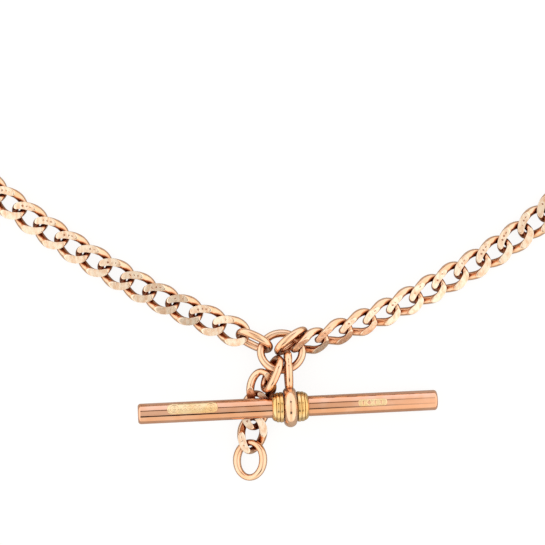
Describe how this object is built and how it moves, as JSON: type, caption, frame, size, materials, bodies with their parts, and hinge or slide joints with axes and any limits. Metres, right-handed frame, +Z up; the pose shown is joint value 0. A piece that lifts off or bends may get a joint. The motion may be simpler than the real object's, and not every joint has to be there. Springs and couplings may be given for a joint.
{
  "type": "pocket watch chain",
  "caption": "Double watch chain of filed curb links: two arms from a centre ring with T-bar and drop chain, each arm ending in a swivel clasp.",
  "frame": {"origin": "on the table, under the middle of the laid-out chain's box", "axes": "+X from the left arm to the right arm, +Y from the centre ring towards the clasps, +Z up from the table"},
  "size_m": [0.1858, 0.1556, 0.0061],
  "materials": {
    "rose_gold": "polished rose gold",
    "yellow_gold": "polished yellow gold",
    "steel": "bright spring steel"
  },
  "bodies": {
    "ring": {"centre_ring": "rose_gold"},
    "left_connector": {"left_connector_link": "rose_gold"},
    "left_link_01": {"left_link_01": "rose_gold"},
    "left_link_02": {"left_link_02": "rose_gold"},
    "left_link_03": {"left_link_03": "rose_gold"},
    "left_link_04": {"left_link_04": "rose_gold"},
    "left_link_05": {"left_link_05": "rose_gold"},
    "left_link_06": {"left_link_06": "rose_gold"},
    "left_link_07": {"left_link_07": "rose_gold"},
    "left_link_08": {"left_link_08": "rose_gold"},
    "left_link_09": {"left_link_09": "rose_gold"},
    "left_link_10": {"left_link_10": "rose_gold"},
    "left_link_11": {"left_link_11": "rose_gold"},
    "left_link_12": {"left_link_12": "rose_gold"},
    "left_chain_run_01": {"left_chain_run_01": "rose_gold"},
    "left_chain_run_02": {"left_chain_run_02": "rose_gold"},
    "left_chain_run_03": {"left_chain_run_03": "rose_gold"},
    "left_chain_run_04": {"left_chain_run_04": "rose_gold"},
    "left_chain_run_05": {"left_chain_run_05": "rose_gold"},
    "left_clasp_eye": {"left_clasp_eye": "rose_gold"},
    "left_clasp_hook": {"left_clasp_hook": "rose_gold", "left_clasp_gate_pin": "steel", "left_clasp_spring": "steel"},
    "left_clasp_gate": {"left_clasp_gate": "rose_gold"},
    "right_link_01": {"right_link_01": "rose_gold"},
    "right_link_02": {"right_link_02": "rose_gold"},
    "right_link_03": {"right_link_03": "rose_gold"},
    "right_link_04": {"right_link_04": "rose_gold"},
    "right_link_05": {"right_link_05": "rose_gold"},
    "right_link_06": {"right_link_06": "rose_gold"},
    "right_link_07": {"right_link_07": "rose_gold"},
    "right_link_08": {"right_link_08": "rose_gold"},
    "right_link_09": {"right_link_09": "rose_gold"},
    "right_link_10": {"right_link_10": "rose_gold"},
    "right_link_11": {"right_link_11": "rose_gold"},
    "right_link_12": {"right_link_12": "rose_gold"},
    "right_chain_run_01": {"right_chain_run_01": "rose_gold"},
    "right_chain_run_02": {"right_chain_run_02": "rose_gold"},
    "right_chain_run_03": {"right_chain_run_03": "rose_gold"},
    "right_chain_run_04": {"right_chain_run_04": "rose_gold"},
    "right_chain_run_05": {"right_chain_run_05": "rose_gold"},
    "right_clasp_eye": {"right_clasp_eye": "rose_gold"},
    "right_clasp_hook": {"right_clasp_hook": "rose_gold", "right_clasp_gate_pin": "steel", "right_clasp_spring": "steel"},
    "right_clasp_gate": {"right_clasp_gate": "rose_gold"},
    "jump_link": {"t_bar_jump_link": "rose_gold"},
    "bail": {"t_bar_swivel_bail": "rose_gold"},
    "t_bar": {"t_bar_rod": "rose_gold", "t_bar_left_collar": "yellow_gold", "t_bar_right_collar": "yellow_gold"},
    "drop_link_01": {"drop_link_01": "rose_gold"},
    "drop_link_02": {"drop_link_02": "rose_gold"},
    "drop_link_03": {"drop_link_03": "rose_gold"},
    "drop_link_04": {"drop_link_04": "rose_gold"},
    "drop_end_ring": {"drop_end_ring": "rose_gold"}
  },
  "joints": [
    {"name": "left_connector_turn", "type": "hinge", "parent": "ring", "child": "left_connector", "pos_m": [0.0005, -0.0581, 0.00203], "axis": [0, 0.2181, 0.9759], "range_deg": [-15, 15]},
    {"name": "left_link_01_sway", "type": "hinge", "parent": "left_connector", "child": "left_link_01", "pos_m": [-0.00217, -0.05696, 0.00178], "axis": [-0.1941, -0.1804, 0.9642], "range_deg": [-14, 14]},
    {"name": "left_link_02_nod", "type": "hinge", "parent": "left_link_01", "child": "left_link_02", "pos_m": [-0.00554, -0.05547, 0.00145], "axis": [-0.3681, -0.9024, -0.224], "range_deg": [-24, 24]},
    {"name": "left_link_03_sway", "type": "hinge", "parent": "left_link_02", "child": "left_link_03", "pos_m": [-0.0089, -0.05397, 0.00126], "axis": [0.1159, 0.1762, -0.9775], "range_deg": [-14, 14]},
    {"name": "left_link_04_nod", "type": "hinge", "parent": "left_link_03", "child": "left_link_04", "pos_m": [-0.01224, -0.05242, 0.00121], "axis": [0.4232, 0.8819, 0.2079], "range_deg": [-24, 24]},
    {"name": "left_link_05_sway", "type": "hinge", "parent": "left_link_04", "child": "left_link_05", "pos_m": [-0.01553, -0.05078, 0.00121], "axis": [-0.0961, -0.1843, 0.9782], "range_deg": [-14, 14]},
    {"name": "left_link_06_nod", "type": "hinge", "parent": "left_link_05", "child": "left_link_06", "pos_m": [-0.01876, -0.04902, 0.00121], "axis": [-0.4844, -0.8498, -0.2079], "range_deg": [-24, 24]},
    {"name": "left_link_07_sway", "type": "hinge", "parent": "left_link_06", "child": "left_link_07", "pos_m": [-0.02193, -0.04716, 0.00121], "axis": [0.1069, 0.1783, -0.9781], "range_deg": [-14, 14]},
    {"name": "left_link_08_nod", "type": "hinge", "parent": "left_link_07", "child": "left_link_08", "pos_m": [-0.02507, -0.04523, 0.00121], "axis": [0.5203, 0.8283, 0.2079], "range_deg": [-24, 24]},
    {"name": "left_link_09_sway", "type": "hinge", "parent": "left_link_08", "child": "left_link_09", "pos_m": [-0.02816, -0.04324, 0.00121], "axis": [-0.115, -0.1732, 0.9782], "range_deg": [-14, 14]},
    {"name": "left_link_10_nod", "type": "hinge", "parent": "left_link_09", "child": "left_link_10", "pos_m": [-0.0312, -0.04116, 0.00121], "axis": [-0.5619, -0.8006, -0.2079], "range_deg": [-24, 24]},
    {"name": "left_link_11_sway", "type": "hinge", "parent": "left_link_10", "child": "left_link_11", "pos_m": [-0.03419, -0.03901, 0.00121], "axis": [0.1237, 0.1671, -0.9782], "range_deg": [-14, 14]},
    {"name": "left_link_12_nod", "type": "hinge", "parent": "left_link_11", "child": "left_link_12", "pos_m": [-0.03712, -0.03678, 0.00121], "axis": [0.6045, 0.769, 0.2079], "range_deg": [-24, 24]},
    {"name": "left_chain_run_01_sway", "type": "hinge", "parent": "left_link_12", "child": "left_chain_run_01", "pos_m": [-0.03998, -0.03448, 0.0009], "axis": [0, 0, 1], "range_deg": [-14, 14]},
    {"name": "left_chain_run_02_nod", "type": "hinge", "parent": "left_chain_run_01", "child": "left_chain_run_02", "pos_m": [-0.05605, -0.01935, 0.0009], "axis": [-0.7329, -0.6803, 0], "range_deg": [-12, 12]},
    {"name": "left_chain_run_03_sway", "type": "hinge", "parent": "left_chain_run_02", "child": "left_chain_run_03", "pos_m": [-0.06996, -0.00223, 0.0009], "axis": [0, 0, -1], "range_deg": [-14, 14]},
    {"name": "left_chain_run_04_nod", "type": "hinge", "parent": "left_chain_run_03", "child": "left_chain_run_04", "pos_m": [-0.0804, 0.0172, 0.0009], "axis": [0.9188, 0.3947, 0], "range_deg": [-12, 12]},
    {"name": "left_chain_run_05_sway", "type": "hinge", "parent": "left_chain_run_04", "child": "left_chain_run_05", "pos_m": [-0.08656, 0.03834, 0.0009], "axis": [0, 0, 1], "range_deg": [-14, 14]},
    {"name": "left_clasp_eye_nod", "type": "hinge", "parent": "left_chain_run_05", "child": "left_clasp_eye", "pos_m": [-0.08857, 0.06029, 0.00195], "axis": [-0.9995, -0.0301, 0], "range_deg": [-25, 25]},
    {"name": "left_clasp_swivel", "type": "hinge", "parent": "left_clasp_eye", "child": "left_clasp_hook", "pos_m": [-0.08875, 0.06629, 0.00168], "axis": [-0.03, 0.9985, -0.0454], "continuous": true},
    {"name": "left_clasp_gate_open", "type": "hinge", "parent": "left_clasp_hook", "child": "left_clasp_gate", "pos_m": [-0.08692, 0.06734, 0.00163], "axis": [-0.0014, 0.0453, 0.999], "range_deg": [0, 28], "stiffness_Nm_per_rad": 0.0002, "springref_deg": -8.59},
    {"name": "right_link_01_turn", "type": "hinge", "parent": "ring", "child": "right_link_01", "pos_m": [0.00641, -0.05836, 0.00208], "axis": [0, 0.2181, 0.9759], "range_deg": [-8, 6]},
    {"name": "right_link_02_nod", "type": "hinge", "parent": "right_link_01", "child": "right_link_02", "pos_m": [0.00913, -0.05739, 0.00196], "axis": [-0.2277, 0.6543, 0.7211], "range_deg": [-24, 24]},
    {"name": "right_link_03_sway", "type": "hinge", "parent": "right_link_02", "child": "right_link_03", "pos_m": [0.01256, -0.05605, 0.00186], "axis": [-0.2615, 0.621, -0.7389], "range_deg": [-14, 14]},
    {"name": "right_link_04_nod", "type": "hinge", "parent": "right_link_03", "child": "right_link_04", "pos_m": [0.01596, -0.05466, 0.00177], "axis": [0.3031, -0.7243, -0.6192], "range_deg": [-24, 24]},
    {"name": "right_link_05_sway", "type": "hinge", "parent": "right_link_04", "child": "right_link_05", "pos_m": [0.01931, -0.05314, 0.00166], "axis": [0.2405, -0.5007, 0.8315], "range_deg": [-14, 14]},
    {"name": "right_link_06_nod", "type": "hinge", "parent": "right_link_05", "child": "right_link_06", "pos_m": [0.0226, -0.05148, 0.00157], "axis": [-0.4046, 0.773, 0.4887], "range_deg": [-24, 24]},
    {"name": "right_link_07_sway", "type": "hinge", "parent": "right_link_06", "child": "right_link_07", "pos_m": [0.02584, -0.04974, 0.00149], "axis": [-0.2027, 0.3663, -0.9082], "range_deg": [-14, 14]},
    {"name": "right_link_08_nod", "type": "hinge", "parent": "right_link_07", "child": "right_link_08", "pos_m": [0.02904, -0.04793, 0.0014], "axis": [0.4675, -0.8134, -0.3461], "range_deg": [-24, 24]},
    {"name": "right_link_09_sway", "type": "hinge", "parent": "right_link_08", "child": "right_link_09", "pos_m": [0.03221, -0.04607, 0.0013], "axis": [0.1403, -0.2323, 0.9625], "range_deg": [-14, 14]},
    {"name": "right_link_10_nod", "type": "hinge", "parent": "right_link_09", "child": "right_link_10", "pos_m": [0.03531, -0.04408, 0.00119], "axis": [-0.5529, 0.81, 0.1952], "range_deg": [-24, 24]},
    {"name": "right_link_11_sway", "type": "hinge", "parent": "right_link_10", "child": "right_link_11", "pos_m": [0.03828, -0.04192, 0.00108], "axis": [-0.0712, 0.0934, -0.9931], "range_deg": [-14, 14]},
    {"name": "right_link_12_nod", "type": "hinge", "parent": "right_link_11", "child": "right_link_12", "pos_m": [0.04112, -0.03958, 0.00096], "axis": [0.6541, -0.7554, -0.0393], "range_deg": [-24, 24]},
    {"name": "right_chain_run_01_sway", "type": "hinge", "parent": "right_link_12", "child": "right_chain_run_01", "pos_m": [0.04387, -0.03713, 0.0009], "axis": [0, 0, 1], "range_deg": [-14, 14]},
    {"name": "right_chain_run_02_nod", "type": "hinge", "parent": "right_chain_run_01", "child": "right_chain_run_02", "pos_m": [0.05909, -0.02115, 0.0009], "axis": [-0.7723, 0.6353, 0], "range_deg": [-12, 12]},
    {"name": "right_chain_run_03_sway", "type": "hinge", "parent": "right_chain_run_02", "child": "right_chain_run_03", "pos_m": [0.07188, -0.00319, 0.0009], "axis": [0, 0, -1], "range_deg": [-14, 14]},
    {"name": "right_chain_run_04_nod", "type": "hinge", "parent": "right_chain_run_03", "child": "right_chain_run_04", "pos_m": [0.08131, 0.01675, 0.0009], "axis": [0.9345, -0.3561, 0], "range_deg": [-12, 12]},
    {"name": "right_chain_run_05_sway", "type": "hinge", "parent": "right_chain_run_04", "child": "right_chain_run_05", "pos_m": [0.08694, 0.03806, 0.0009], "axis": [0, 0, 1], "range_deg": [-14, 14]},
    {"name": "right_clasp_eye_nod", "type": "hinge", "parent": "right_chain_run_05", "child": "right_clasp_eye", "pos_m": [0.08889, 0.06003, 0.00195], "axis": [-0.9995, 0.0303, 0], "range_deg": [-25, 25]},
    {"name": "right_clasp_swivel", "type": "hinge", "parent": "right_clasp_eye", "child": "right_clasp_hook", "pos_m": [0.08907, 0.06602, 0.00168], "axis": [0.0302, 0.9985, -0.0454], "continuous": true},
    {"name": "right_clasp_gate_open", "type": "hinge", "parent": "right_clasp_hook", "child": "right_clasp_gate", "pos_m": [0.09096, 0.06696, 0.00163], "axis": [0.0014, 0.0453, 0.999], "range_deg": [0, 28], "stiffness_Nm_per_rad": 0.0002, "springref_deg": -8.59},
    {"name": "jump_link_turn", "type": "hinge", "parent": "ring", "child": "jump_link", "pos_m": [0.00478, -0.05776, 0.00207], "axis": [0, 0.2181, 0.9759], "range_deg": [-6, 6]},
    {"name": "bail_swing", "type": "hinge", "parent": "ring", "child": "bail", "pos_m": [0.00441, -0.06182, 0.00279], "axis": [-1, 0, 0], "range_deg": [0, 60]},
    {"name": "t_bar_spin", "type": "hinge", "parent": "bail", "child": "t_bar", "pos_m": [0.00461, -0.06709, 0.00306], "axis": [0.9962, 0.0418, -0.0767], "continuous": true},
    {"name": "drop_link_01_turn", "type": "hinge", "parent": "ring", "child": "drop_link_01", "pos_m": [0.00207, -0.06182, 0.00279], "axis": [0, 0.2181, 0.9759], "range_deg": [-12, 0]},
    {"name": "drop_link_02_nod", "type": "hinge", "parent": "drop_link_01", "child": "drop_link_02", "pos_m": [0.0013, -0.06345, 0.00228], "axis": [-0.9817, 0.1685, 0.0884], "range_deg": [-12, 0]},
    {"name": "drop_link_03_sway", "type": "hinge", "parent": "drop_link_02", "child": "drop_link_03", "pos_m": [0.00009, -0.06611, 0.00136], "axis": [0.0919, 0.0042, 0.9958], "range_deg": [-10, 10]},
    {"name": "drop_link_04_nod", "type": "hinge", "parent": "drop_link_03", "child": "drop_link_04", "pos_m": [-0.00058, -0.06944, 0.00107], "axis": [-0.9755, 0.153, 0.1581], "range_deg": [-12, 12]},
    {"name": "drop_end_ring_sway", "type": "hinge", "parent": "drop_link_04", "child": "drop_end_ring", "pos_m": [-0.00095, -0.07299, 0.00119], "axis": [-0.3159, 0.0492, 0.9475], "range_deg": [-15, 15]}
  ]
}
